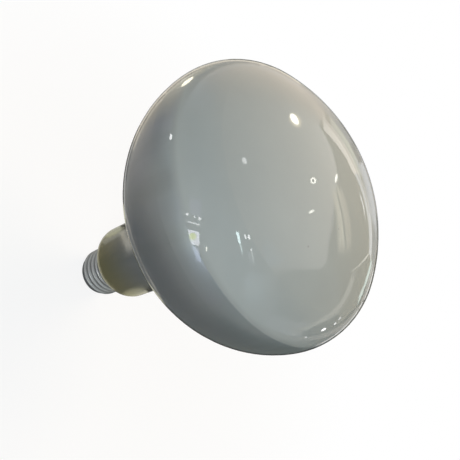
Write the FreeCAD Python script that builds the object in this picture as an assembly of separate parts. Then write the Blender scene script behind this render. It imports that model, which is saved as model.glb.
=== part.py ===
import FreeCAD, Part
import math
import os

# Infrared heat lamp bulb with a mirrored back, a frosted face and a screw cap.
# Millimetres. The origin is the end of the centre contact, on the lamp's axis,
# and +Z runs from the cap to the crown of the face.

os.makedirs("parts", exist_ok=True)

# Glass bulb
bulb_diameter = 125.0
overall_length = 170.0
face_height = 40.0
face_shoulder_radius = 28.5
reflector_depth = 55.0
neck_diameter = 39.0
neck_shoulder_radius = 6.5
throat_radius = 8.0
neck_plug_length = 14.0
plug_edge_radius = 2.0

# Screw shell, a thread rolled in thin sheet: seven turns to the inch, two equal arcs
cap_length = 28.0
thread_diameter = 26.4
thread_depth = 1.1
thread_pitch = 25.4 / 7
thread_run_out = 2.6
shell_sheet = 0.3
collar_diameter = 26.0
collar_length = 4.2
lip_bend_radius = 2.0
lip_width = 1.0

# Insulator, contact, solder and cement
nose_height = 4.2
nose_margin = 0.6
flange_thickness = 2.5
contact_diameter = 11.0
contact_sheet = 0.5
eyelet_diameter = 3.2
eyelet_wall = 0.5
solder_diameter = 6.0
solder_height = 0.8
solder_plug_length = 2.0
side_solder_width = 4.4
side_solder_height = 3.0
side_solder_bulge = 0.9
cement_thickness = 1.2
cement_length = 11.0
fit_gap = 0.05

# Steps of the rolled thread's surface
steps_per_turn = 48
steps_per_pitch = 16

# Heights and radii that more than one piece shares
bulb_radius = bulb_diameter / 2
neck_radius = neck_diameter / 2
widest_z = overall_length - face_height
crest_radius = thread_diameter / 2
root_radius = crest_radius - thread_depth
collar_radius = collar_diameter / 2
shell_bottom = solder_height + contact_sheet + nose_height
thread_start = shell_bottom + lip_bend_radius
thread_end = cap_length - collar_length
bend_centre_radius = root_radius - lip_bend_radius
lip_hole_radius = bend_centre_radius - lip_width
plug_radius = root_radius - shell_sheet - cement_thickness
flange_top = shell_bottom + shell_sheet + flange_thickness
eyelet_radius = eyelet_diameter / 2
eyelet_bore = eyelet_radius - eyelet_wall


def at(radius, z):
    """A point of a half section, in the XZ plane."""
    return FreeCAD.Vector(radius, 0, z)


def line(start, end):
    return Part.LineSegment(at(*start), at(*end)).toShape()


def arc(start, middle, end):
    return Part.Arc(at(*start), at(*middle), at(*end)).toShape()


def corner_arc(start, end, centre, radius):
    """The short arc from start to end about a centre."""
    out_r = (start[0] + end[0]) / 2 - centre[0]
    out_z = (start[1] + end[1]) / 2 - centre[1]
    scale = radius / math.hypot(out_r, out_z)
    return arc(start, (centre[0] + out_r * scale, centre[1] + out_z * scale), end)


def back_arc(start):
    """The back's ellipse from a point near the neck to the bulb's widest ring."""
    vertices = [at(bulb_radius, widest_z), at(0, widest_z + reflector_depth)]
    if reflector_depth > bulb_radius:
        vertices.reverse()
    ellipse = Part.Ellipse(vertices[0], vertices[1], at(0, widest_z))
    first = ellipse.parameter(at(*start))
    last = ellipse.parameter(at(bulb_radius, widest_z))
    if (last - first) % (2 * math.pi) > math.pi:
        first, last = last, first
    return Part.ArcOfEllipse(ellipse, first, last).toShape()


def polyline(points):
    return [line(points[i], points[i + 1]) for i in range(len(points) - 1)]


def turned(edges):
    """Revolves a closed half section about the lamp's axis."""
    section = Part.Face(Part.Wire(Part.__sortEdges__(edges)))
    return section.revolve(FreeCAD.Vector(0, 0, 0), FreeCAD.Vector(0, 0, 1), 360)


# Glass bulb: neck plug, shoulder, neck, hollow throat, elliptical back, rounded face

def throat_points(search_steps=60):
    """Ends, middle and centre height of the hollow arc from the neck into the back."""
    centre_radius = neck_radius + throat_radius
    low = 0.0
    high = math.pi / 2
    for _ in range(search_steps):
        turn = (low + high) / 2
        on_back = (bulb_radius * math.sin(turn), widest_z - reflector_depth * math.cos(turn))
        slope_r = on_back[0] / bulb_radius ** 2
        slope_z = (on_back[1] - widest_z) / reflector_depth ** 2
        size = math.hypot(slope_r, slope_z)
        centre = (on_back[0] + throat_radius * slope_r / size, on_back[1] + throat_radius * slope_z / size)
        if centre[0] < centre_radius:
            low = turn
        else:
            high = turn
    return (neck_radius, centre[1]), on_back, (centre_radius, centre[1])


def glass_bulb():
    plug_bottom = cap_length - neck_plug_length
    shoulder_start = neck_radius - neck_shoulder_radius
    shoulder_top = cap_length + neck_shoulder_radius
    throat_low, throat_high, throat_centre = throat_points()
    face_shoulder_centre = bulb_radius - face_shoulder_radius
    crown_radius = (
        (bulb_radius ** 2 + face_height ** 2 - 2 * bulb_radius * face_shoulder_radius)
        / (2 * (face_height - face_shoulder_radius))
    )
    crown_centre_z = overall_length - crown_radius
    tilt = math.atan2(face_shoulder_centre, crown_radius - face_height)
    crown_edge = (crown_radius * math.sin(tilt), crown_centre_z + crown_radius * math.cos(tilt))
    edges = polyline([
        (0, overall_length),
        (0, plug_bottom),
        (plug_radius - plug_edge_radius, plug_bottom),
    ])
    edges.append(corner_arc(
        (plug_radius - plug_edge_radius, plug_bottom),
        (plug_radius, plug_bottom + plug_edge_radius),
        (plug_radius - plug_edge_radius, plug_bottom + plug_edge_radius),
        plug_edge_radius,
    ))
    edges += polyline([
        (plug_radius, plug_bottom + plug_edge_radius),
        (plug_radius, cap_length),
        (shoulder_start, cap_length),
    ])
    edges.append(corner_arc(
        (shoulder_start, cap_length),
        (neck_radius, shoulder_top),
        (shoulder_start, shoulder_top),
        neck_shoulder_radius,
    ))
    edges.append(line((neck_radius, shoulder_top), throat_low))
    edges.append(corner_arc(throat_low, throat_high, throat_centre, throat_radius))
    edges.append(back_arc(throat_high))
    edges.append(corner_arc(
        (bulb_radius, widest_z), crown_edge, (face_shoulder_centre, widest_z), face_shoulder_radius))
    edges.append(corner_arc(crown_edge, (0, overall_length), (0, crown_centre_z), crown_radius))
    return turned(edges)


# Screw shell: a turned-in lip, a rolled thread that runs out at both ends, and a collar

def thread_radius(from_crest, inset):
    """Radius of the thread's face, or of the sheet's back when inset is its thickness."""
    arc_radius = (thread_pitch ** 2 / 4 + thread_depth ** 2) / (4 * thread_depth)
    crest_arc = arc_radius - inset
    root_arc = arc_radius + inset
    if from_crest < thread_pitch / 4 * crest_arc / arc_radius:
        return crest_radius - arc_radius + math.sqrt(crest_arc ** 2 - from_crest ** 2)
    from_root = thread_pitch / 2 - from_crest
    return root_radius + arc_radius - math.sqrt(root_arc ** 2 - from_root ** 2)


def eased(share):
    share = min(max(share, 0.0), 1.0)
    return share * share * (3 - 2 * share)


def shell_point(angle, z, inset):
    climbed = (z - thread_start - thread_pitch * angle / (2 * math.pi)) % thread_pitch
    thread = thread_radius(min(climbed, thread_pitch - climbed), inset)
    plain = root_radius - inset
    radius = plain + eased((z - thread_start) / thread_run_out) * (thread - plain)
    plain = collar_radius - inset
    radius = plain + eased((thread_end - z) / thread_run_out) * (radius - plain)
    return FreeCAD.Vector(radius * math.cos(angle), radius * math.sin(angle), z)


def thread_face(inset, degree=3):
    """The sheet's front or back from the lip to the collar, as one smooth closed surface."""
    height = thread_end - thread_start
    spans = math.ceil(height / thread_pitch * steps_per_pitch)
    knots = [0] * degree + list(range(spans + 1)) + [spans] * degree
    step = 2 * math.pi / steps_per_turn
    # A closed cubic runs inside its poles, so they stand out by this share
    swell = 3 / (2 + math.cos(step))
    net = []
    for i in range(steps_per_turn):
        row = []
        for j in range(spans + degree):
            along = sum(knots[j + 1:j + 1 + degree]) / (degree * spans)
            point = shell_point((i - 1) * step, thread_start + along * height, inset)
            row.append(FreeCAD.Vector(point.x * swell, point.y * swell, point.z))
        net.append(row)
    surface = Part.BSplineSurface()
    surface.buildFromPolesMultsKnots(
        net,
        [1] * (steps_per_turn + 1), [degree + 1] + [1] * (spans - 1) + [degree + 1],
        list(range(steps_per_turn + 1)), list(range(spans + 1)),
        True, False, degree, degree,
    )
    return surface.toShape()


def rim_wire(face, z, tolerance=0.01):
    """The closed edge of a thread face at a height."""
    for edge in face.Edges:
        if edge.Closed and abs(edge.BoundBox.ZMin - z) < tolerance:
            return Part.Wire([edge])


def threaded_sleeve(sewing_tolerance=0.0001):
    front_and_back = [thread_face(0), thread_face(shell_sheet)]
    faces = list(front_and_back)
    for z in (thread_start, thread_end):
        rims = [rim_wire(face, z) for face in front_and_back]
        faces.append(Part.makeFace(rims, "Part::FaceMakerBullseye"))
    sheet = Part.makeCompound(faces)
    sheet.sewShape(sewing_tolerance)
    return Part.makeSolid(sheet.Shells[0])


def screw_shell(joining_tolerance=0.001):
    lip_top = shell_bottom + shell_sheet
    bend_centre = (bend_centre_radius, thread_start)
    section = polyline([
        (bend_centre_radius, lip_top),
        (lip_hole_radius, lip_top),
        (lip_hole_radius, shell_bottom),
        (bend_centre_radius, shell_bottom),
    ])
    section.append(corner_arc(
        (bend_centre_radius, shell_bottom), (root_radius, thread_start),
        bend_centre, lip_bend_radius,
    ))
    section.append(line((root_radius, thread_start), (root_radius - shell_sheet, thread_start)))
    section.append(corner_arc(
        (root_radius - shell_sheet, thread_start), (bend_centre_radius, lip_top),
        bend_centre, lip_bend_radius - shell_sheet,
    ))
    collar = turned(polyline([
        (collar_radius, thread_end),
        (collar_radius, cap_length),
        (collar_radius - shell_sheet, cap_length),
        (collar_radius - shell_sheet, thread_end),
        (collar_radius, thread_end),
    ]))
    return threaded_sleeve().multiFuse([turned(section), collar], joining_tolerance).Solids[0]


# Insulator: a nose below the lip, a waist in the lip's hole and a flange that rests on the lip

def cap_insulator():
    hole = eyelet_radius + fit_gap
    nose_bottom = solder_height + contact_sheet
    waist = lip_hole_radius - fit_gap
    return turned(polyline([
        (hole, nose_bottom),
        (contact_diameter / 2 + nose_margin, nose_bottom),
        (waist, shell_bottom),
        (waist, shell_bottom + shell_sheet),
        (bend_centre_radius, shell_bottom + shell_sheet),
        (bend_centre_radius, flange_top),
        (hole, flange_top),
        (hole, nose_bottom),
    ]))


# Centre contact: a plate under the nose with an eyelet through the insulator

def centre_contact():
    plate_top = solder_height + contact_sheet
    return turned(polyline([
        (eyelet_bore, solder_height),
        (contact_diameter / 2, solder_height),
        (contact_diameter / 2, plate_top),
        (eyelet_radius, plate_top),
        (eyelet_radius, flange_top),
        (eyelet_bore, flange_top),
        (eyelet_bore, solder_height),
    ]))


# Contact solder: a low dome on the plate and a plug in the eyelet

def contact_solder():
    dome_radius = solder_diameter / 2
    curve = (dome_radius ** 2 + solder_height ** 2) / (2 * solder_height)
    plug_top = solder_height + solder_plug_length
    edges = polyline([
        (0, 0),
        (0, plug_top),
        (eyelet_bore, plug_top),
        (eyelet_bore, solder_height),
        (dome_radius, solder_height),
    ])
    edges.append(corner_arc((0, 0), (dome_radius, solder_height), (0, curve), curve))
    return turned(edges)


# Side solder: the drop that joins the second wire to the collar, under the glass

def side_solder():
    stretch = FreeCAD.Matrix()
    stretch.scale(side_solder_width / 2, side_solder_bulge, side_solder_height / 2)
    drop = Part.makeSphere(1.0).transformGeometry(stretch)
    drop.translate(FreeCAD.Vector(0, collar_radius, cap_length - side_solder_height / 2 - fit_gap))
    collar = Part.makeCylinder(collar_radius, collar_length + side_solder_height)
    collar.translate(FreeCAD.Vector(0, 0, cap_length - side_solder_height - collar_length / 2))
    return drop.cut(collar)


# Basing cement: the ring that holds the neck plug in the shell

def basing_cement():
    thread_side = root_radius - shell_sheet - fit_gap
    collar_side = collar_radius - shell_sheet - fit_gap
    bottom = cap_length - cement_length
    return turned(polyline([
        (plug_radius, bottom),
        (thread_side, bottom),
        (thread_side, thread_end),
        (collar_side, thread_end),
        (collar_side, cap_length),
        (plug_radius, cap_length),
        (plug_radius, bottom),
    ]))


glass_bulb().exportStep("parts/glass_bulb.step")
screw_shell().exportStep("parts/screw_shell.step")
cap_insulator().exportStep("parts/cap_insulator.step")
centre_contact().exportStep("parts/centre_contact.step")
contact_solder().exportStep("parts/contact_solder.step")
side_solder().exportStep("parts/side_solder.step")
basing_cement().exportStep("parts/basing_cement.step")
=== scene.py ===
# %% [markdown]
# # An infrared heat lamp bulb
# The lamp is a sealed, blown glass mushroom on a screw cap. Its back is silvered inside so that
# the heat goes forward, and its face is frosted. This lesson dresses the solids of the lamp with
# finishes, and lights them so that the glass shows its gloss.

# %% Load the frame
import bpy
import math
from mathutils import Matrix, Vector
from mathutils.interpolate import poly_3d_calc


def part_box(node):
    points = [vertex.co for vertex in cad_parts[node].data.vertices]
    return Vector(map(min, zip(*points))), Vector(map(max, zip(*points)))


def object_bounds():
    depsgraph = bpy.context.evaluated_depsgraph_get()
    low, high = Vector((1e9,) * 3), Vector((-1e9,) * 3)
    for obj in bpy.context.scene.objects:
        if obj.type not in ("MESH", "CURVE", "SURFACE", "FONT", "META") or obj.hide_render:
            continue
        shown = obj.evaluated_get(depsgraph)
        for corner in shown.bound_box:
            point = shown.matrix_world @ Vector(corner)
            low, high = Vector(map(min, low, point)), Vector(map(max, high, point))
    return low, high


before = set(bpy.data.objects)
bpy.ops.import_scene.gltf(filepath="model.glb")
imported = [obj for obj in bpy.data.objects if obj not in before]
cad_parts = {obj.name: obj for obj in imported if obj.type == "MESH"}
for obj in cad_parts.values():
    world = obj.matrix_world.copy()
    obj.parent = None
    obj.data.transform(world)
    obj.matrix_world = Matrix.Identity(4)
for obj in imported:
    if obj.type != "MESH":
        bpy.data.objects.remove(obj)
solid_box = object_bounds()
scene = bpy.context.scene
scene.view_settings.view_transform = "Standard"
MM = 0.001
crown_mm = solid_box[1][2] / MM
cap_top_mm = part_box("screw_shell")[1][2] / MM
print("solids:", sorted(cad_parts))
print("the cap ends at", round(cap_top_mm, 2), "mm, the crown is at", round(crown_mm, 2), "mm")

# %% [markdown]
# ## Small tools for colour and nodes
# Colours are written as people read them off a screen, in sRGB hex, while the renderer adds up
# light in linear values, so one function turns one into the other. A second function adds a
# shader node, sets it up and links it, which keeps each finish short enough to read. A third turns
# the real size of a pattern in millimetres into the scale that a texture asks for.

# %% Colour and node helpers
def linear(hex_colour):
    """An sRGB hex colour in linear light, opaque."""
    channels = [int(hex_colour[i:i + 2], 16) / 255 for i in (1, 3, 5)]
    bent = [c / 12.92 if c <= 0.04045 else ((c + 0.055) / 1.055) ** 2.4 for c in channels]
    return (*bent, 1.0)


def add(material, kind, settings=None, **inputs):
    """Adds a node: settings are its properties, inputs are socket values or sockets to link.

    A socket goes by its name, or by its place as i0, i1 and so on where names repeat.
    """
    node = material.node_tree.nodes.new(kind)
    for name, value in (settings or {}).items():
        setattr(node, name, value)
    for name, value in inputs.items():
        key = int(name[1:]) if name[1:].isdigit() else name.replace("_", " ")
        socket = node.inputs[key]
        if isinstance(value, bpy.types.NodeSocket):
            material.node_tree.links.new(value, socket)
        else:
            socket.default_value = value
    return node


def per_metre(size_mm):
    """The texture scale at which a pattern repeats about every size_mm."""
    return 1 / (size_mm * MM)


SMOOTH = {"interpolation_type": "SMOOTHSTEP"}
COLOUR = {"data_type": "RGBA"}
NUMBER = {"data_type": "FLOAT"}
TIMES = {"operation": "MULTIPLY"}
LENGTH = {"operation": "LENGTH"}
LARGER = {"operation": "MAXIMUM"}
print("a mid grey in linear light:", round(linear("#808080")[0], 4))


# %% Material helpers
def new_material(name):
    material = bpy.data.materials.new(name)
    material.use_nodes = True
    material.node_tree.nodes.clear()
    return material


def finish_material(material, shader):
    add(material, "ShaderNodeOutputMaterial", Surface=shader)
    print("finish:", material.name, "with", len(material.node_tree.nodes), "nodes")


def dress(node, material):
    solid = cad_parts[node]
    solid.data.materials.clear()
    solid.data.materials.append(material)
    print("dressed:", node, "in", material.name)


print("solids to dress:", len(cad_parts))

# %% [markdown]
# ## Camera
# The picture was taken from close by, so the face looms and the cap shrinks. The camera stands in
# front of the lamp and above its widest ring, and leans over on its side, which lays the upright
# lamp down in the picture.

# %% Camera
PICTURE_PX = 460
FOCAL_PX = 500
SENSOR_MM = 36
NEAR_CLIP_M = 0.01
camera_place = Vector((0, -178.99, 245.96)) * MM
look_point = Vector((4.40, -0.11, 106.29)) * MM
lean = math.radians(68.415)

camera_data = bpy.data.cameras.new("camera")
camera_data.sensor_width = SENSOR_MM
camera_data.lens = SENSOR_MM * FOCAL_PX / PICTURE_PX
camera_data.clip_start = NEAR_CLIP_M
camera = bpy.data.objects.new("camera", camera_data)
scene.collection.objects.link(camera)
upright = (look_point - camera_place).to_track_quat("-Z", "Y").to_matrix().to_4x4()
camera.matrix_world = Matrix.Translation(camera_place) @ upright @ Matrix.Rotation(lean, 4, "Z")
scene.camera = camera
print("lens", round(camera_data.lens, 2), "mm")

# %% [markdown]
# ## Coated glass
# The envelope is soft soda-lime glass, blown in a mould and fire-polished, so it is glossy all
# over. What colours it lies behind the glass: an etched frosting on the face, and a film of
# aluminium, steamed on, over the back. The two meet on a ring a little way up the face, crisp on
# one side of the lamp and blurred on the other. Two separate pieces of glass would show a seam,
# so one finish carries both, with a mask by height.

# %% Where the coatings meet
FROST_DEPTH_MM = 31.5
CRISP_BLUR_MM = 0.4
SOFT_BLUR_MM = 2.2
SOFT_SIDE_MM = -14
CRISP_SIDE_MM = 10
WANDER_MM = 0.5
WANDER_SPAN_MM = 30
frost_edge_mm = crown_mm - FROST_DEPTH_MM

coated = new_material("silvered_and_frosted_soda_lime_glass")
glass_place = add(coated, "ShaderNodeTexCoord").outputs["Object"]
glass_split = add(coated, "ShaderNodeSeparateXYZ", Vector=glass_place)
uneven = add(coated, "ShaderNodeTexNoise", Vector=glass_place, Scale=per_metre(WANDER_SPAN_MM),
             Detail=2.0).outputs["Fac"]
wander = add(coated, "ShaderNodeMapRange", Value=uneven,
             To_Min=-WANDER_MM * MM, To_Max=WANDER_MM * MM).outputs["Result"]
edge_height = add(coated, "ShaderNodeMath", {"operation": "ADD"},
                  i0=glass_split.outputs["Z"], i1=wander).outputs[0]


def edge_mask(blur_mm):
    """Goes from film to frosting across the ring where they meet."""
    return add(coated, "ShaderNodeMapRange", SMOOTH, Value=edge_height,
               From_Min=(frost_edge_mm - blur_mm) * MM,
               From_Max=(frost_edge_mm + blur_mm) * MM).outputs["Result"]


crisp_share = add(coated, "ShaderNodeMapRange", SMOOTH, Value=glass_split.outputs["X"],
                  From_Min=SOFT_SIDE_MM * MM, From_Max=CRISP_SIDE_MM * MM).outputs["Result"]
face_mask = add(coated, "ShaderNodeMix", NUMBER, Factor=crisp_share,
                i2=edge_mask(SOFT_BLUR_MM), i3=edge_mask(CRISP_BLUR_MM)).outputs[0]
print("frosting above", round(frost_edge_mm, 1), "mm")

# %% [markdown]
# ### Aluminium film
# The film was steamed on from the middle of the lamp, so it is thickest on the back and thins out
# towards the frosting. There its colour turns lighter and bluer on the soft side of the lamp and a
# little darker on the crisp side. It has a faint blue cast in places.
# Streaks run up the glass where the film went on unevenly, and near the cap the heat of the lamp
# has browned it.

# %% Aluminium film
FILM_THINS_DEPTH_MM = 50
CAST_MM = 24
film_thins_mm = crown_mm - FILM_THINS_DEPTH_MM

# Towards the frosting the colour turns lighter and bluer on the soft side, darker on the crisp side
thin = add(coated, "ShaderNodeMapRange", SMOOTH, Value=edge_height,
           From_Min=film_thins_mm * MM, From_Max=frost_edge_mm * MM).outputs["Result"]
thinned = add(coated, "ShaderNodeMix", COLOUR, Factor=crisp_share,
              i6=linear("#919A9E"), i7=linear("#858F92")).outputs[2]
film = add(coated, "ShaderNodeMix", COLOUR, Factor=thin, i6=linear("#8E9194"), i7=thinned).outputs[2]
cast = add(coated, "ShaderNodeTexNoise", Vector=glass_place, Scale=per_metre(CAST_MM),
           Detail=2.0).outputs["Fac"]
cast_share = add(coated, "ShaderNodeMapRange", Value=cast, From_Min=0.4, From_Max=0.65,
                 To_Max=0.5).outputs["Result"]
tinted = add(coated, "ShaderNodeMix", COLOUR, Factor=cast_share,
             i6=film, i7=linear("#868A96")).outputs[2]
print("film thins above", round(film_thins_mm, 1), "mm")

# %% Streaks and stain in the film
STREAK_MM = 9
STREAK_STRETCH = 0.12
STAIN_STARTS_MM = 4
STAIN_ENDS_MM = 38
stain_ends_mm = cap_top_mm + STAIN_ENDS_MM

streak_place = add(coated, "ShaderNodeVectorMath", TIMES,
                   i0=glass_place, i1=(1, 1, STREAK_STRETCH)).outputs[0]
streaks = add(coated, "ShaderNodeTexNoise", Vector=streak_place, Scale=per_metre(STREAK_MM),
              Detail=3.0).outputs["Fac"]
streak_share = add(coated, "ShaderNodeMapRange", Value=streaks, From_Min=0.4, From_Max=0.7,
                   To_Max=0.3).outputs["Result"]
streaked = add(coated, "ShaderNodeMix", COLOUR, Factor=streak_share,
               i6=tinted, i7=linear("#7E827F")).outputs[2]
above_stain = add(coated, "ShaderNodeMapRange", SMOOTH, Value=edge_height,
                  From_Min=(cap_top_mm + STAIN_STARTS_MM) * MM,
                  From_Max=stain_ends_mm * MM).outputs["Result"]
silver = add(coated, "ShaderNodeMix", COLOUR, Factor=above_stain,
             i6=linear("#857F5A"), i7=streaked).outputs[2]
print("stain fades out by", round(stain_ends_mm, 1), "mm")

# %% [markdown]
# ### Frosting
# Acid etches the inside of the face to a fine tooth that scatters the light. Its grain is far too
# fine to show, so it is drawn as soft clouds and as a roughness that wanders. The etch thins out
# towards its edge, where a little of the dark inside shows through, and some dust has settled on
# the glass.

# %% Frosting
CLOUD_MM = 22
FROST_THINS_MM = 2.5
DUST_GAP_MM = 11
DUST_MM = 0.35

clouds = add(coated, "ShaderNodeTexNoise", Vector=glass_place, Scale=per_metre(CLOUD_MM),
             Detail=3.0).outputs["Fac"]
cloudy = add(coated, "ShaderNodeMix", COLOUR, Factor=clouds,
             i6=linear("#9A9F9D"), i7=linear("#A4A9A7")).outputs[2]
above_edge = add(coated, "ShaderNodeMapRange", SMOOTH, Value=edge_height, From_Min=frost_edge_mm * MM,
                 From_Max=(frost_edge_mm + FROST_THINS_MM) * MM).outputs["Result"]
frost = add(coated, "ShaderNodeMix", COLOUR, Factor=above_edge,
            i6=linear("#969B99"), i7=cloudy).outputs[2]
dust = add(coated, "ShaderNodeTexVoronoi", Vector=glass_place,
           Scale=per_metre(DUST_GAP_MM)).outputs["Distance"]
speck = add(coated, "ShaderNodeMapRange", SMOOTH, Value=dust, From_Min=0.5 * DUST_MM / DUST_GAP_MM,
            From_Max=1.5 * DUST_MM / DUST_GAP_MM, To_Min=0.3, To_Max=0.0).outputs["Result"]
dusty = add(coated, "ShaderNodeMix", COLOUR, Factor=speck, i6=frost, i7=linear("#5E5C55")).outputs[2]
print("dust specks of", DUST_MM, "mm about every", DUST_GAP_MM, "mm")

# %% [markdown]
# ### Both coatings behind clear glass
# The mask now joins the two coatings into one finish: the film is mostly metal, the frosting is
# not metal at all. The clear glass in front of them is the shader's coat, which gives the sharp
# highlights. Blown glass is never quite true, so a slow ripple bends these a little.

# %% Both coatings behind clear glass
GRAIN_MM = 1.2
RIPPLE_MM = 26
RIPPLE_DEEP_MM = 0.08

coat_colour = add(coated, "ShaderNodeMix", COLOUR, Factor=face_mask, i6=silver, i7=dusty).outputs[2]
metal = add(coated, "ShaderNodeMapRange", Value=face_mask, To_Min=0.75, To_Max=0.0).outputs["Result"]
etched = add(coated, "ShaderNodeTexNoise", Vector=glass_place, Scale=per_metre(GRAIN_MM),
             Detail=4.0).outputs["Fac"]
frost_rough = add(coated, "ShaderNodeMapRange", Value=etched, To_Min=0.52, To_Max=0.68).outputs["Result"]
film_rough = add(coated, "ShaderNodeMapRange", Value=streaks, To_Min=0.36, To_Max=0.48).outputs["Result"]
glass_rough = add(coated, "ShaderNodeMix", NUMBER, Factor=face_mask,
                  i2=film_rough, i3=frost_rough).outputs[0]
ripple = add(coated, "ShaderNodeTexNoise", Vector=glass_place, Scale=per_metre(RIPPLE_MM),
             Detail=1.0).outputs["Fac"]
wavy = add(coated, "ShaderNodeBump", Strength=1.0, Distance=RIPPLE_DEEP_MM * MM,
           Height=ripple).outputs["Normal"]
blown = add(coated, "ShaderNodeBsdfPrincipled", Base_Color=coat_colour, Metallic=metal,
            Roughness=glass_rough, Normal=wavy,
            Coat_Weight=1.0, Coat_Roughness=0.02, Coat_IOR=1.5, Coat_Normal=wavy)
finish_material(coated, blown.outputs["BSDF"])
dress("glass_bulb", coated)

# %% [markdown]
# ## Nickel-plated sheet
# The screw shell is thin brass sheet, rolled to its thread and plated with nickel. Rolling leaves
# fine lines round it, handling dulls it in smudges, and the grooves are coloured a little darker
# than the crests. The distance from the axis tells crest from groove.

# %% Nickel-plated sheet
CREST_MM = 13.1
GROOVE_MM = 12.2
SMUDGE_MM = 6
ROLL_LINE_MM = 0.5
ROLL_STRETCH = 0.06
ROLL_DEEP_MM = 0.03
SIDEWAYS = (1, 1, 0)

nickel = new_material("nickel_plated_sheet")
nickel_place = add(nickel, "ShaderNodeTexCoord").outputs["Object"]
nickel_side = add(nickel, "ShaderNodeVectorMath", TIMES, i0=nickel_place, i1=SIDEWAYS).outputs[0]
nickel_reach = add(nickel, "ShaderNodeVectorMath", LENGTH, i0=nickel_side).outputs["Value"]
crest = add(nickel, "ShaderNodeMapRange", SMOOTH, Value=nickel_reach,
            From_Min=GROOVE_MM * MM, From_Max=CREST_MM * MM).outputs["Result"]
smudge = add(nickel, "ShaderNodeTexNoise", Vector=nickel_place, Scale=per_metre(SMUDGE_MM),
             Detail=4.0).outputs["Fac"]
plate = add(nickel, "ShaderNodeMix", COLOUR, Factor=smudge,
            i6=linear("#9A9DA0"), i7=linear("#AEB1B4")).outputs[2]
# The grooves get a slightly darker colour than the crests
crest_and_groove_colour = add(nickel, "ShaderNodeMix", COLOUR, Factor=crest, i6=linear("#8C8F92"), i7=plate).outputs[2]
dulled = add(nickel, "ShaderNodeMapRange", Value=smudge, From_Min=0.3, From_Max=0.7,
             To_Min=0.42, To_Max=0.56).outputs["Result"]
round_lines = add(nickel, "ShaderNodeVectorMath", TIMES,
                  i0=nickel_place, i1=(ROLL_STRETCH, ROLL_STRETCH, 1)).outputs[0]
rolled = add(nickel, "ShaderNodeTexNoise", Vector=round_lines, Scale=per_metre(ROLL_LINE_MM),
             Detail=2.0).outputs["Fac"]
lined = add(nickel, "ShaderNodeBump", Strength=0.35, Distance=ROLL_DEEP_MM * MM,
            Height=rolled).outputs["Normal"]
plated = add(nickel, "ShaderNodeBsdfPrincipled", Base_Color=crest_and_groove_colour, Metallic=1.0,
             Roughness=dulled, Normal=lined)
finish_material(nickel, plated.outputs["BSDF"])
dress("screw_shell", nickel)

# %% [markdown]
# ## Brass contact
# The centre contact is a stamped brass button. Air has tarnished it in brown clouds, and the
# spring of the holder has worn its middle bright, which a mask by the distance from the axis draws.

# %% Brass contact
TARNISH_MM = 2.5
WORN_MM = 3.0
UNWORN_MM = 5.5
STAMP_DEEP_MM = 0.04

brass = new_material("stamped_brass")
brass_place = add(brass, "ShaderNodeTexCoord").outputs["Object"]
brass_side = add(brass, "ShaderNodeVectorMath", TIMES, i0=brass_place, i1=SIDEWAYS).outputs[0]
brass_reach = add(brass, "ShaderNodeVectorMath", LENGTH, i0=brass_side).outputs["Value"]
unworn = add(brass, "ShaderNodeMapRange", SMOOTH, Value=brass_reach,
             From_Min=WORN_MM * MM, From_Max=UNWORN_MM * MM).outputs["Result"]
tarnish = add(brass, "ShaderNodeTexNoise", Vector=brass_place, Scale=per_metre(TARNISH_MM),
              Detail=4.0).outputs["Fac"]
tarnish_share = add(brass, "ShaderNodeMath", TIMES, i0=unworn, i1=tarnish).outputs[0]
tarnished = add(brass, "ShaderNodeMix", COLOUR, Factor=tarnish_share,
                i6=linear("#C2A05C"), i7=linear("#6E5329")).outputs[2]
brass_rough = add(brass, "ShaderNodeMapRange", Value=tarnish_share,
                  To_Min=0.24, To_Max=0.5).outputs["Result"]
stamped = add(brass, "ShaderNodeBump", Strength=0.4, Distance=STAMP_DEEP_MM * MM,
              Height=tarnish).outputs["Normal"]
button = add(brass, "ShaderNodeBsdfPrincipled", Base_Color=tarnished, Metallic=1.0,
             Roughness=brass_rough, Normal=stamped)
finish_material(brass, button.outputs["BSDF"])
dress("centre_contact", brass)

# %% [markdown]
# ## Tin solder
# The two lead wires end in drops of solder. It froze quickly, so the drop is bright but lumpy, and
# a grey skin of oxide and flux lies on it in patches.

# %% Tin solder
SKIN_MM = 1.4
LUMP_MM = 0.9
LUMP_DEEP_MM = 0.08

solder = new_material("tin_solder")
solder_place = add(solder, "ShaderNodeTexCoord").outputs["Object"]
skin = add(solder, "ShaderNodeTexNoise", Vector=solder_place, Scale=per_metre(SKIN_MM),
           Detail=4.0).outputs["Fac"]
skinned = add(solder, "ShaderNodeMix", COLOUR, Factor=skin,
              i6=linear("#B9BAB6"), i7=linear("#7F7E78")).outputs[2]
solder_rough = add(solder, "ShaderNodeMapRange", Value=skin, From_Min=0.3, From_Max=0.7,
                   To_Min=0.22, To_Max=0.5).outputs["Result"]
lumps = add(solder, "ShaderNodeTexNoise", Vector=solder_place, Scale=per_metre(LUMP_MM),
            Detail=2.0).outputs["Fac"]
lumpy = add(solder, "ShaderNodeBump", Strength=0.5, Distance=LUMP_DEEP_MM * MM,
            Height=lumps).outputs["Normal"]
drop = add(solder, "ShaderNodeBsdfPrincipled", Base_Color=skinned, Metallic=1.0,
           Roughness=solder_rough, Normal=lumpy)
finish_material(solder, drop.outputs["BSDF"])
dress("contact_solder", solder)
dress("side_solder", solder)

# %% [markdown]
# ## Black glass
# The insulator under the cap is poured black glass. It is smooth and deep, with slow waves from
# the pour and a grey bloom of dust.

# %% Black glass
BLOOM_MM = 1.6
POUR_MM = 4
POUR_DEEP_MM = 0.1

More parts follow.
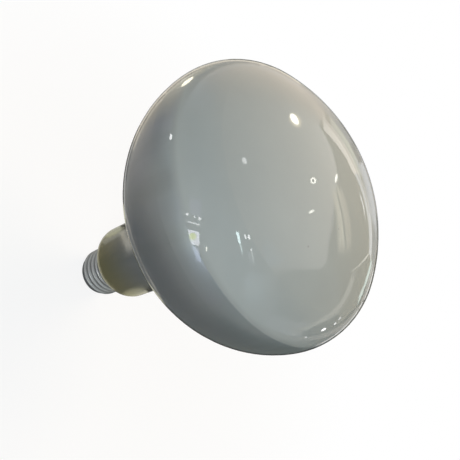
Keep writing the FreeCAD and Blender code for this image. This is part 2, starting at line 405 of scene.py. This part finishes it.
black_glass = new_material("poured_black_glass")
black_place = add(black_glass, "ShaderNodeTexCoord").outputs["Object"]
bloom = add(black_glass, "ShaderNodeTexNoise", Vector=black_place, Scale=per_metre(BLOOM_MM),
            Detail=5.0).outputs["Fac"]
bloom_share = add(black_glass, "ShaderNodeMapRange", Value=bloom, From_Min=0.45, From_Max=0.75,
                  To_Max=0.5).outputs["Result"]
bloomed = add(black_glass, "ShaderNodeMix", COLOUR, Factor=bloom_share,
              i6=linear("#17161A"), i7=linear("#3A3836")).outputs[2]
black_rough = add(black_glass, "ShaderNodeMapRange", Value=bloom_share,
                  To_Min=0.1, To_Max=0.55).outputs["Result"]
pour = add(black_glass, "ShaderNodeTexNoise", Vector=black_place, Scale=per_metre(POUR_MM),
           Detail=1.0).outputs["Fac"]
poured = add(black_glass, "ShaderNodeBump", Strength=0.5, Distance=POUR_DEEP_MM * MM,
             Height=pour).outputs["Normal"]
insulator = add(black_glass, "ShaderNodeBsdfPrincipled", Base_Color=bloomed,
                Roughness=black_rough, IOR=1.52, Normal=poured)
finish_material(black_glass, insulator.outputs["BSDF"])
dress("cap_insulator", black_glass)

# %% [markdown]
# ## Basing cement
# A ring of baked cement, resin filled with stone powder, holds the glass in the cap. It is matt
# and sandy, with darker grains.

# %% Basing cement
SAND_MM = 0.7
SAND_DEEP_MM = 0.12

cement = new_material("baked_basing_cement")
cement_place = add(cement, "ShaderNodeTexCoord").outputs["Object"]
sand = add(cement, "ShaderNodeTexNoise", Vector=cement_place, Scale=per_metre(SAND_MM),
           Detail=4.0).outputs["Fac"]
sand_colour = add(cement, "ShaderNodeMix", COLOUR, Factor=sand,
                  i6=linear("#8E7F66"), i7=linear("#C6B89D")).outputs[2]
cement_rough = add(cement, "ShaderNodeMapRange", Value=sand, To_Min=0.8, To_Max=0.98).outputs["Result"]
sandy = add(cement, "ShaderNodeBump", Strength=0.6, Distance=SAND_DEEP_MM * MM,
            Height=sand).outputs["Normal"]
baked = add(cement, "ShaderNodeBsdfPrincipled", Base_Color=sand_colour,
            Roughness=cement_rough, Normal=sandy)
finish_material(cement, baked.outputs["BSDF"])
dress("basing_cement", cement)

# %% [markdown]
# ## Floor and surroundings
# The ground is a sweep of white paper. The camera and the reflections see it as white, and near
# the lamp some of its own shading is kept, so that the soft shadow round the foot stays. Further
# out the paper burns out to white, and no horizon shows.

# %% White floor
FLOOR_M = 6.0
FLOOR_GLOW = 0.86
SHADED_M = 0.06
BURNT_OUT_M = 0.3
WHITE = (1, 1, 1, 1)


def seen_directly(material):
    """1 where the camera, a reflection or a refraction looks, and 0 where light is gathered."""
    path = add(material, "ShaderNodeLightPath")
    first = add(material, "ShaderNodeMath", LARGER,
                i0=path.outputs["Is Camera Ray"], i1=path.outputs["Is Glossy Ray"])
    both = add(material, "ShaderNodeMath", LARGER,
               i0=first.outputs[0], i1=path.outputs["Is Transmission Ray"])
    return both.outputs[0]


bpy.ops.mesh.primitive_plane_add(size=FLOOR_M)
floor = bpy.context.object
floor.name = "floor"
paper = new_material("white_paper_sweep")
diffuse = add(paper, "ShaderNodeBsdfDiffuse", Color=linear("#F4F4F2"))
glow = add(paper, "ShaderNodeEmission", Color=WHITE, Strength=1.0)
paper_place = add(paper, "ShaderNodeTexCoord").outputs["Object"]
from_foot = add(paper, "ShaderNodeVectorMath", LENGTH, i0=paper_place).outputs["Value"]
burnt_out = add(paper, "ShaderNodeMapRange", SMOOTH, Value=from_foot, From_Min=SHADED_M,
                From_Max=BURNT_OUT_M, To_Min=FLOOR_GLOW).outputs["Result"]
white_share = add(paper, "ShaderNodeMath", TIMES, i0=seen_directly(paper), i1=burnt_out).outputs[0]
swept = add(paper, "ShaderNodeMixShader", i0=white_share, i1=diffuse.outputs[0], i2=glow.outputs[0])
finish_material(paper, swept.outputs[0])
floor.data.materials.append(paper)

# %% White world
WORLD_FILL = 0.2

world = bpy.data.worlds.new("studio")
world.use_nodes = True
world.node_tree.nodes.clear()
scene.world = world
direct = seen_directly(world)
sky = add(world, "ShaderNodeMapRange", Value=direct, To_Min=WORLD_FILL, To_Max=1.0)
tint = add(world, "ShaderNodeMix", COLOUR, Factor=direct, i6=linear("#EAF4F5"), i7=WHITE)
background = add(world, "ShaderNodeBackground", Color=tint.outputs[2], Strength=sky.outputs["Result"])
add(world, "ShaderNodeOutputWorld", Surface=background.outputs[0])
print("world fill", WORLD_FILL)

# %% [markdown]
# ## Where a highlight comes from
# Glass is drawn by what it mirrors. To set a highlight at a place in the picture, follow the
# camera's ray through that pixel to the glass, mirror it there, and put something bright at the
# far end. The same works for dark things. The surface's smooth normal is used, not the flat one
# of the small triangle that the ray meets, or neighbouring rays would jump.

# %% Mirror helpers
FACE_HEIGHT_MM = 40
FLOOR_CLEARANCE = 0.85
CARD_MM = 900
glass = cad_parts["glass_bulb"]
bulb_centre = Vector((0, 0, crown_mm - FACE_HEIGHT_MM)) * MM


def ray_through(pixel):
    across = (pixel[0] - PICTURE_PX / 2) / FOCAL_PX
    up = (PICTURE_PX / 2 - pixel[1]) / FOCAL_PX
    return (camera.matrix_world.to_3x3() @ Vector((across, up, -1))).normalized()


def mirrored(pixel, distance_mm=CARD_MM):
    """A place that the glass shows at a pixel of the picture, above the floor."""
    ray = ray_through(pixel)
    point, flat_normal, index = glass.ray_cast(camera_place, ray)[1:]
    facet = glass.data.polygons[index]
    shares = poly_3d_calc([glass.data.vertices[i].co for i in facet.vertices], point)
    normal = Vector()
    for part, corner in zip(shares, facet.loop_indices):
        normal += part * glass.data.corner_normals[corner].vector
    away = ray.reflect(normal)
    reach_m = distance_mm * MM
    if away.z < 0:
        reach_m = min(reach_m, FLOOR_CLEARANCE * point.z / -away.z)
    return point + away * reach_m


def around(azimuth, elevation, distance_mm):
    """A place round the bulb's centre, azimuth from +X towards +Y."""
    a = math.radians(azimuth)
    e = math.radians(elevation)
    way = Vector((math.cos(e) * math.cos(a), math.cos(e) * math.sin(a), math.sin(e)))
    return bulb_centre + way * distance_mm * MM


middle_of_picture = (PICTURE_PX / 2, PICTURE_PX / 2)
print("the middle of the picture mirrors", [round(x, 2) for x in mirrored(middle_of_picture)])

# %% [markdown]
# ## Cards for the reflections
# Photographers set dark and pale cards round a glass object, just out of the picture. These do
# the same, and only reflections see them: they cast no light and no shadow. Each corner says how
# much of the card shows there, so that a card can have soft edges.

# %% Card helpers
def card(name, corners, hex_colour, strength, faces=None, shown=None):
    """A card that only reflections see. Shown gives each corner's share, all of it by default."""
    mesh = bpy.data.meshes.new(name)
    mesh.from_pydata(corners, [], faces or [list(range(len(corners)))])
    levels = mesh.attributes.new("shown", "FLOAT", "POINT")
    levels.data.foreach_set("value", shown or [1.0] * len(corners))
    obj = bpy.data.objects.new(name, mesh)
    scene.collection.objects.link(obj)
    paint = new_material(name + "_paint")
    level = add(paint, "ShaderNodeAttribute", {"attribute_name": "shown"}).outputs["Fac"]
    clear = add(paint, "ShaderNodeBsdfTransparent").outputs[0]
    light = add(paint, "ShaderNodeEmission", Color=linear(hex_colour), Strength=strength).outputs[0]
    painted = add(paint, "ShaderNodeMixShader", i0=level, i1=clear, i2=light)
    add(paint, "ShaderNodeOutputMaterial", Surface=painted.outputs[0])
    mesh.materials.append(paint)
    obj.visible_camera = False
    obj.visible_diffuse = False
    obj.visible_shadow = False
    obj.visible_transmission = False
    return obj


def sheet(name, rows, shown_rows, hex_colour, strength):
    """A bent card on a grid of corners."""
    wide = len(rows[0])
    faces = []
    for i in range(len(rows) - 1):
        for j in range(wide - 1):
            start = i * wide + j
            faces.append((start, start + 1, start + wide + 1, start + wide))
    corners = [corner for row in rows for corner in row]
    shown = [level for row in shown_rows for level in row]
    return card(name, corners, hex_colour, strength, faces, shown)


# %% Cards round the bulb
FLAT_BENDS = 12
DISC_STEPS = 32


def band(name, places, distance_mm, hex_colour, strength, soft=1.0):
    """A bent card through places of azimuth, lowest and highest elevation, with soft edges."""
    step = math.copysign(soft, places[-1][0] - places[0][0])
    first = (places[0][0] - step, *places[0][1:])
    last = (places[-1][0] + step, *places[-1][1:])
    rows = []
    shown_rows = []
    for azimuth, low, high in (first, *places, last):
        rows.append([around(azimuth, e, distance_mm) for e in (low - soft, low, high, high + soft)])
        inner = 0.0 if azimuth in (first[0], last[0]) else 1.0
        shown_rows.append([0.0, inner, inner, 0.0])
    return sheet(name, rows, shown_rows, hex_colour, strength)


def flat(name, azimuths, elevations, distance_mm, hex_colour, strength, soft=1.0):
    """A bent card that spans a range of directions round the bulb."""
    turn = (azimuths[1] - azimuths[0]) / FLAT_BENDS
    places = [(azimuths[0] + turn * bend, *elevations) for bend in range(FLAT_BENDS + 1)]
    return band(name, places, distance_mm, hex_colour, strength, soft)


def patch(name, centre_mm, full_mm, faded_mm, height_mm, hex_colour, strength):
    """A soft round patch that lies over the floor."""
    centre = Vector((*centre_mm, height_mm))
    rows = []
    for step in range(DISC_STEPS + 1):
        turn = 2 * math.pi * step / DISC_STEPS
        way = Vector((math.cos(turn), math.sin(turn), 0))
        rows.append([(centre + way * reach) * MM for reach in (0, full_mm, faded_mm)])
    return sheet(name, rows, [[1.0, 1.0, 0.0]] * len(rows), hex_colour, strength)


print("a bent card has", FLAT_BENDS, "bends, a patch has", DISC_STEPS, "steps")

# %% [markdown]
# ### What stands round the lamp
# Patches over the ground shade the lower half of the glass. A large overhead card lays the broad
# sheen with the clear edge over the face, and side cards fill the rest. Directions are given in
# degrees round the bulb, so that a card is found again by where it stands.

# %% Ground as the glass sees it
# Centre, full and faded radius and height in millimetres, then colour and brightness
patch("ground", (0, 0), 1500, 1600, 1, "#FFFBF2", 0.5)
patch("pale_ground_left", (-360, 150), 110, 240, 1.5, "#FFF4DC", 0.75)
patch("dim_ground_left", (-240, -80), 40, 110, 2, "#F4F4F4", 0.4)
patch("pale_ground_rim", (-165, 45), 20, 70, 2.5, "#FFF4DC", 0.6)
patch("dark_ground_right", (195, 20), 120, 210, 3, "#F2FFF6", 0.16)
patch("dark_ground_far", (430, 190), 170, 290, 2.8, "#F2FFF6", 0.2)
patch("dark_ground_front", (20, -70), 45, 140, 3.5, "#EEF8FA", 0.14)
patch("pale_card_neck_right", (27, -5), 6, 11, 25, "#F8F6DA", 0.75)
patch("pale_card_neck_left", (-29, -1), 5, 9, 25, "#F8F8DA", 0.95)
print("ground patches laid")

# %% Overhead card
CEILING_BRIGHT = 1.85
CEILING_DIM = 0.9
CEILING_NEAR_M = 0.5
CEILING_FAR_M = 1.6
CEILING_MM = 1500
ceiling_brightest = (70, 58)

# Azimuth, elevation, and how soft the edge is there, in degrees
ceiling_edge = [
    (165, 12, 6), (150, 8, 6), (130, 7, 6), (110, 8, 6), (108, 24, 3), (99, 34, 1), (88, 41, 1),
    (79, 48.5, 1), (61, 52.5, 1), (48, 51.5, 1), (36, 45.5, 1), (29, 45.5, 1), (15, 51.5, 1),
    (-1, 54, 1), (-26, 53, 1), (-60, 60, 1), (-100, 58, 1), (-140, 50, 1), (180, 30, 6)]
edge_count = len(ceiling_edge)
full = [around(azimuth, elevation + soft, CEILING_MM) for azimuth, elevation, soft in ceiling_edge]
faded = [around(azimuth, elevation - soft, CEILING_MM) for azimuth, elevation, soft in ceiling_edge]
ceiling_faces = [tuple(range(edge_count))]
for i in range(edge_count):
    after = (i + 1) % edge_count
    ceiling_faces.append((i, after, edge_count + after, edge_count + i))
ceiling_shown = [1.0] * edge_count + [0.0] * edge_count
ceiling = card("ceiling", full + faded, "#FDF9F2", CEILING_BRIGHT, ceiling_faces, ceiling_shown)

ceiling_paint = ceiling.data.materials[0]
ceiling_place = add(ceiling_paint, "ShaderNodeTexCoord").outputs["Object"]
from_brightest = add(ceiling_paint, "ShaderNodeVectorMath", {"operation": "DISTANCE"},
                     i0=ceiling_place, i1=around(*ceiling_brightest, CEILING_MM)).outputs["Value"]
falling = add(ceiling_paint, "ShaderNodeMapRange", SMOOTH, Value=from_brightest, From_Min=CEILING_NEAR_M,
              From_Max=CEILING_FAR_M, To_Min=CEILING_BRIGHT, To_Max=CEILING_DIM).outputs["Result"]
ceiling_light = ceiling_paint.node_tree.nodes["Emission"]
ceiling_paint.node_tree.links.new(falling, ceiling_light.inputs["Strength"])
print("overhead card with", edge_count, "corners hung")

# %% Side cards
# Azimuths and elevations in degrees, distance in millimetres, colour, brightness, and how many
# degrees wide the soft edge is
flat("front_wall", (-173, -19), (-17, 69), 1700, "#FAFAF4", 0.9, soft=6)
flat("bright_wall", (-46, -30), (2, 34), 1600, "#E4F4FA", 2.2, soft=5)
flat("warm_wall", (116, 156), (4, 18), 960, "#FFEFDE", 1.12, soft=16)
flat("back_wall", (40, 112), (-2, 50), 1650, "#F8F2DA", 0.45)
flat("side_wall", (-14, 40), (16, 58), 1680, "#F4F4E8", 0.6, soft=4)
flat("grey_side", (17, 60), (-10, 10), 1640, "#D9E6DE", 0.15, soft=6)
print("side cards hung")

# %% Pale strip on the right
# Each place has an azimuth, a lowest and a highest elevation
strip_post = [(111, 7, 18), (107.5, 8, 22)]
strip_left = [(108, 15, 26), (98, 15.5, 24), (88, 14.5, 21)]
strip_right = [(88, 14.5, 21), (77, 9, 15.5), (66, 3.5, 9)]
strip_seam = [(108, 16.4, 17.2), (98, 16.8, 17.6), (88, 15.8, 16.6), (77, 10.4, 11.2)]
strip_side = [(104, 2, 14), (97, 2, 14.5), (91, 4, 14.5), (88, 10, 14)]

band("strip_post", strip_post, 1120, "#FFEFE0", 1.25)
band("strip_left", strip_left, 1100, "#FFF6EA", 2.3, soft=0.6)
band("strip_right", strip_right, 1100, "#FBFDFF", 1.5, soft=0.6)
band("strip_seam", strip_seam, 1080, "#FFF0E0", 0.7, soft=0.5)
band("strip_side", strip_side, 1140, "#F0F2E2", 1.15)
flat("strip_foot", (68, 112), (-5, 5), 1130, "#F4F6FA", 0.48)
flat("strip_foot_bright", (77, 90), (-3, 9), 1125, "#F4F8FF", 0.95, soft=3)
flat("dark_wedge", (91, 95), (-4, 6), 1050, "#FFFFFF", 0.3)
flat("rim_streak", (55, 66), (0, 3), 1050, "#EEFFF8", 1.7)
print("strip hung")

# %% [markdown]
# ## Thin lines along the outline
# Right at its outline the glass is seen edge on and mirrors what lies just behind it, so a dark
# thing there draws a thin dark line, and a pale one a thin pale line inside it. The outline is
# found by walking out from the bulb's middle until a ray misses the glass. The neck and the throat
# have outlines of their own, and cards that stand close to them, or the bulb would hide these.

# %% Outline helpers
OUTLINE_HALVINGS = 24
OUTLINE_STEP_DEG = 3
bulb_outline = {"middle_px": (251, 205), "inside_px": 90, "outside_px": 175, "card_mm": CARD_MM}
neck_outline = {"middle_px": (118, 262), "inside_px": 8, "outside_px": 45, "card_mm": 5}
throat_outline = {"middle_px": (125, 270), "inside_px": 8, "outside_px": 45, "card_mm": 5}


def along(middle_px, turn_deg, reach_px):
    """The pixel that lies reach_px away at a turn, which runs clockwise from the right."""
    turn = math.radians(turn_deg)
    return (middle_px[0] + reach_px * math.cos(turn), middle_px[1] + reach_px * math.sin(turn))


def outline_reach(outline, turn_deg):
    """How far the glass above the cap reaches from a middle, in pixels, before a ray misses it."""
    inside = outline["inside_px"]
    outside = outline["outside_px"]
    for halving in range(OUTLINE_HALVINGS):
        halfway = (inside + outside) / 2
        pixel = along(outline["middle_px"], turn_deg, halfway)
        found, point = glass.ray_cast(camera_place, ray_through(pixel))[:2]
        if found and point.z > cap_top_mm * MM:
            inside = halfway
        else:
            outside = halfway
    return inside


def rim(name, turns_deg, insets_px, hex_colour, strength, outline=bulb_outline):
    """A card that shows as a thin line inside an outline, and fades past its two ends."""
    first = turns_deg[0] - OUTLINE_STEP_DEG
    last = turns_deg[1] + OUTLINE_STEP_DEG
    rows = []
    shown_rows = []
    for turn in range(first, last + 1, OUTLINE_STEP_DEG):
        edge = outline_reach(outline, turn)
        pixels = [along(outline["middle_px"], turn, edge - inset) for inset in insets_px]
        rows.append([mirrored(pixel, outline["card_mm"]) for pixel in pixels])
        level = 0.0 if turn in (first, last) else 1.0
        shown_rows.append([level] * len(insets_px))
    return sheet(name, rows, shown_rows, hex_colour, strength)


print("the bulb reaches", round(outline_reach(bulb_outline, 0), 1), "pixels to the right of its middle")

# %% Outline lines
# Turns in degrees, insets from the outline in pixels, then colour and brightness
rim("dark_outline_left", (174, 213), (0.1, 0.5, 1.0), "#FFFFFF", 0.03)
rim("grey_outline_left", (213, 258), (0.1, 0.5, 0.9), "#FFFFFF", 0.4)
rim("dark_outline_top", (258, 285), (0.1, 0.5, 0.9), "#FFFFFF", 0.15)
rim("grey_outline_right", (285, 378), (0.1, 0.4, 0.8), "#F0F6FF", 0.35)
rim("dark_spot_right", (318, 330), (0.1, 0.7, 1.4), "#F0FFF8", 0.1)
rim("dark_spot_right_low", (366, 375), (0.1, 0.8, 1.8), "#F0FFF8", 0.12)
rim("dark_outline_low", (378, 504), (0.1, 0.6, 1.4), "#FFFFFF", 0.03)
rim("pale_outline_side", (174, 207), (1.2, 1.6, 2.1), "#F6F6F2", 0.7)
rim("pale_outline_left", (210, 291), (1.2, 1.8, 2.4), "#FFF4E0", 1.15)
rim("dark_line_left", (192, 246), (2.3, 3.2), "#FFFFFF", 0.03)
rim("pale_line_left", (207, 246), (3.3, 4.5), "#FFF4E0", 1.2)
rim("pale_outline_low", (30, 63), (1.5, 2.3), "#FFFFFF", 1.2)
rim("pale_line_neck", (141, 171), (1.6, 2.0, 2.4), "#FFF8EA", 0.6)
rim("pale_edge_neck", (99, 249), (0.3, 0.8, 1.4), "#FFFFF2", 0.8, neck_outline)
rim("pale_top_neck", (252, 273), (0.4, 1.6, 3.2), "#F6F6E4", 0.7, neck_outline)
rim("pale_low_neck", (45, 63), (0.4, 2.0, 4.0), "#F6F4DE", 0.75, throat_outline)
print("outline lines drawn")

# %% [markdown]
# ## Highlights
# The small lights in the glass are each set by where they show in the picture. A light is a disc
# with a soft edge, a pane is a flat card with four corners, a line is a narrow card along a few
# points, and a sheen is a card with one clear edge that fades out towards the other.

# %% Lights and panes
OVAL_STEPS = 16
OVAL_CORE = 0.65


def mark(name, pixels, hex_colour, strength):
    """A small card by where its corners show in the picture."""
    return card(name, [mirrored(pixel) for pixel in pixels], hex_colour, strength)


def oval(name, centre_px, half_px, tilt_deg, hex_colour, strength, distance_mm=CARD_MM):
    """A small round card with a soft edge, by where it shows in the picture."""
    tilt = math.radians(tilt_deg)
    rows = []
    for step in range(OVAL_STEPS + 1):
        turn = 2 * math.pi * step / OVAL_STEPS
        x = half_px[0] * math.cos(turn)
        y = half_px[1] * math.sin(turn)
        across = x * math.cos(tilt) - y * math.sin(tilt)
        down = x * math.sin(tilt) + y * math.cos(tilt)
        pixels = [(centre_px[0] + part * across, centre_px[1] + part * down) for part in (0, OVAL_CORE, 1)]
        rows.append([mirrored(pixel, distance_mm) for pixel in pixels])
    return sheet(name, rows, [[1.0, 1.0, 0.0]] * len(rows), hex_colour, strength)


print("a light has", OVAL_STEPS, "steps round its edge")

# %% Lines and sheens
LINE_CORE = 0.4
LINE_SHOWN = [0.0, 1.0, 1.0, 0.0]
SHEEN_EDGE_PX = 0.8
SHEEN_SHOWN = [0.0, 1.0, 0.75, 0.0]
NOT_SHOWN = [0.0, 0.0, 0.0, 0.0]


def faded_ends(shown_row, count):
    """The same row of shares for all rows of corners but the first and the last."""
    inner_rows = [shown_row] * (count - 2)
    return [NOT_SHOWN, *inner_rows, NOT_SHOWN]


def trace(name, pixels, half_px, hex_colour, strength, distance_mm=CARD_MM):
    """A thin soft line through pixels of the picture, which fades at its two ends."""
    rows = []
    for i, pixel in enumerate(pixels):
        back = pixels[max(i - 1, 0)]
        ahead = pixels[min(i + 1, len(pixels) - 1)]
        length = math.dist(back, ahead)
        side = ((back[1] - ahead[1]) / length, (ahead[0] - back[0]) / length)
        reaches = [part * half_px for part in (-1, -LINE_CORE, LINE_CORE, 1)]
        crossing = [(pixel[0] + reach * side[0], pixel[1] + reach * side[1]) for reach in reaches]
        rows.append([mirrored(place, distance_mm) for place in crossing])
    return sheet(name, rows, faded_ends(LINE_SHOWN, len(rows)), hex_colour, strength)


def fading(name, edge_px, faded_px, hex_colour, strength):
    """A pale shape with one clear edge, which fades out towards the other."""
    rows = []
    for edge, faded_end in zip(edge_px, faded_px):
        across = (faded_end[0] - edge[0], faded_end[1] - edge[1])
        parts = (-SHEEN_EDGE_PX / math.hypot(*across), 0, 0.5, 1)
        pixels = [(edge[0] + part * across[0], edge[1] + part * across[1]) for part in parts]
        rows.append([mirrored(pixel) for pixel in pixels])
    return sheet(name, rows, faded_ends(SHEEN_SHOWN, len(rows)), hex_colour, strength)


print("a sheen is clear over", SHEEN_EDGE_PX, "pixels")

# %% Small lights in the glass
main_lamp_px = (294.4, 119.2)
main_halo_px = (295.2, 120.4)
side_lamp_px = (171, 137)
faint_lamp_px = (244.5, 160.5)
ring_lamp_px = (313, 180.8)
tube_lamp_px = (336.5, 178.2)
dash_lamp_px = (311.4, 211.8)
low_lamp_px = (323.8, 329.6)
low_lamp_two_px = (335, 323.8)
low_lamp_three_px = (339.6, 318.8)
low_dot_px = (306, 337.3)

# Half sizes in pixels, tilts in degrees, then colour and brightness
oval("main_lamp", main_lamp_px, (3.5, 7.2), -33, "#FFFDF2", 16)
oval("main_lamp_halo", main_halo_px, (6.4, 9.6), -33, "#FFF0CF", 4.0, distance_mm=950)
oval("side_lamp", side_lamp_px, (1.6, 3.6), 8, "#FFFFFF", 12)
oval("faint_lamp", faint_lamp_px, (2.6, 4.2), -15, "#FFFFFF", 8)
oval("ring_lamp", ring_lamp_px, (3.3, 3.8), 0, "#FFFDF2", 15)
oval("ring_lamp_middle", ring_lamp_px, (1.7, 2.0), 0, "#C9C7B8", 1.4, distance_mm=850)
oval("tube_lamp", tube_lamp_px, (1.6, 5.2), 10, "#FFFDF2", 9)
oval("dash_lamp", dash_lamp_px, (3.6, 1.8), -25, "#FFFDF2", 12)
oval("low_lamp", low_lamp_px, (3.3, 1.3), -30, "#FFFFFF", 8)
oval("low_lamp_two", low_lamp_two_px, (2.0, 1.0), -40, "#FFFFFF", 4)
oval("low_lamp_three", low_lamp_three_px, (2.4, 0.9), -46, "#FFFFFF", 2.6)
oval("low_dot", low_dot_px, (1.6, 1.0), -15, "#FFFFFF", 3.5)
print("small lights hung")

# %% Panes on the left
window_lintel_px = [(189.5, 199), (201, 200), (201, 218), (190, 214)]
window_pane_px = [(187.6, 229.2), (199.3, 232.4), (199, 247), (191, 243.6)]
window_green_px = (192.6, 236.4)
window_sill_px = [(191.7, 246), (198.6, 248.6), (201.6, 263), (197, 261)]
window_foot_px = [(201.4, 264), (203.2, 264.4), (207.8, 270.8), (206.6, 271.6)]
window_dot_px = (187.1, 214.3)
window_dot_two_px = (199.7, 218.6)
window_dot_three_px = (194.6, 217)
window_line_px = [(186, 221.3), (188.6, 222), (193.5, 223.2), (198.6, 224.7), (201.2, 225.4)]
window_dash_px = (206.4, 248.8)

mark("window_lintel", window_lintel_px, "#F0E8FF", 1.7)
mark("window_pane", window_pane_px, "#F6F6FF", 9)
oval("window_green", window_green_px, (4.4, 4.2), 0, "#E2EC8C", 9, distance_mm=360)
mark("window_sill", window_sill_px, "#D8E0FF", 4.5)
mark("window_foot", window_foot_px, "#EDE6FF", 2.0)
oval("window_dot", window_dot_px, (1.7, 1.6), 0, "#FFFFFF", 11)
oval("window_dot_two", window_dot_two_px, (1.7, 2.0), 0, "#FFFFFF", 12)
oval("window_dot_three", window_dot_three_px, (1.0, 1.6), -20, "#FFFFFF", 9)
trace("window_line", window_line_px, 0.8, "#FFFFFF", 9)
oval("window_dash", window_dash_px, (1.0, 3.0), 0, "#FFFFF0", 13)
print("left panes hung")

# %% Panes in the middle
skylight_px = [(235.6, 231.8), (238.8, 232.2), (241.2, 243.2), (239, 243.4)]
skylight_tail_px = [(239.2, 241), (240.3, 245), (241.6, 249.6), (243.4, 254.6)]
skylight_dash_px = (245.3, 236.6)
skylight_dash_two_px = (248.9, 237)
skylight_dot_px = (251.1, 249.6)
skylight_pane_px = [(248.3, 252.6), (249.5, 252.4), (251, 262.6), (249.8, 262.8)]
skylight_line_px = [(251, 248.6), (251.9, 253), (252.8, 258), (253.8, 264.4)]

mark("skylight", skylight_px, "#E6FFFF", 15)
trace("skylight_tail", skylight_tail_px, 0.9, "#EAFFFF", 9)
oval("skylight_dash", skylight_dash_px, (0.9, 3.2), -12, "#FFFFFF", 13)
oval("skylight_dash_two", skylight_dash_two_px, (1.2, 3.1), -12, "#FFFFFF", 14)
oval("skylight_dot", skylight_dot_px, (1.1, 1.8), 0, "#FFFFFF", 9)
mark("skylight_pane", skylight_pane_px, "#F2F6FF", 3)
trace("skylight_line", skylight_line_px, 0.8, "#FFFFFF", 5)
print("middle panes hung")

# %% Streaks and folds in the glass
top_streak_px = (187.2, 81.8)
curtain_px = [(334.6, 186), (336.4, 194), (338.6, 206), (341, 222), (342, 240), (342.4, 256)]
curtain_two_px = [(338.4, 186), (341, 194), (344.4, 206), (347.2, 222), (348.4, 240), (348.8, 256)]
curtain_fold_px = [(336.2, 189), (337.8, 195), (340.6, 207), (343.4, 222), (345, 240), (345.4, 254)]
strip_line_px = [(358.8, 191), (361, 198), (363.5, 207), (365.8, 222)]
low_arc_px = [(354, 268), (351.5, 282), (347, 294), (341, 304.5), (333, 313), (323, 319.5),
              (312, 325), (300, 330), (288, 334)]
low_line_px = [(371, 250), (367, 256), (362, 262.5), (355, 268.5), (348, 273)]
throat_px = [(121.8, 230), (123.4, 234), (125.6, 240), (128, 246), (131.4, 255)]

oval("top_streak", top_streak_px, (9.0, 2.0), -38, "#FFF8DE", 6)
trace("curtain", curtain_px, 5.5, "#FFF6DC", 2.4, distance_mm=1000)
trace("curtain_two", curtain_two_px, 4.0, "#FFF2D8", 1.5, distance_mm=1010)
trace("curtain_fold", curtain_fold_px, 1.0, "#FFF4E0", 0.2, distance_mm=940)
trace("strip_line", strip_line_px, 0.7, "#FFFFFF", 2.6)
trace("low_arc", low_arc_px, 3.0, "#F8F4E6", 1.25)
trace("low_line", low_line_px, 0.9, "#FFFCEE", 1.8)
trace("throat_glint", throat_px, 3.4, "#FFF8E8", 1.0, distance_mm=6)
print("streaks hung")

# %% Sheens in the glass
pale_shape_px = [(250.5, 270), (247.4, 275.5), (246.6, 280), (242.4, 283.6), (245, 288),
                 (246, 296), (248, 306)]
pale_shape_faded_px = [(262, 270), (270, 275), (272, 280), (272, 285), (272, 290),
                       (270, 297), (262, 307)]
pale_corner_px = [(262.4, 236), (263.4, 248), (265, 257), (267.4, 263), (273, 265.4), (282, 266.6)]
pale_corner_faded_px = [(273, 234), (276, 244), (278, 250), (280, 252), (283, 253), (288, 254)]

fading("pale_shape", pale_shape_px, pale_shape_faded_px, "#EEF8FA", 1.75)
fading("pale_corner", pale_corner_px, pale_corner_faded_px, "#EAF6FF", 1.7)
print("sheens hung")

# %% [markdown]
# ## Lamps
# Two wide lamps do the lighting, and do not show in the glass: a warm one up and behind, and a
# cool one from the camera's side. They are set so that a colour renders about as it is written.

# %% Lamps
LAMP_MM = 1300
LAMP_SIZE_MM = 700


def lamp(name, azimuth, elevation, watts, hex_colour):
    """A wide round lamp that faces the bulb from a direction round it."""
    place = around(azimuth, elevation, LAMP_MM)
    data = bpy.data.lights.new(name, "AREA")
    data.shape = "DISK"
    data.size = LAMP_SIZE_MM * MM
    data.energy = watts
    data.color = linear(hex_colour)[:3]
    obj = bpy.data.objects.new(name, data)
    scene.collection.objects.link(obj)
    obj.location = place
    obj.rotation_euler = (bulb_centre - place).to_track_quat("-Z", "Y").to_euler()
    obj.visible_camera = False
    obj.visible_glossy = False
    print("lamp:", name, watts, "W")


# Azimuth and elevation in degrees, power in watts, colour
lamp("soft_key", 82, 48, 11.8, "#FFE4C2")
lamp("front_fill", -84, 38, 8.3, "#EEF9FF")
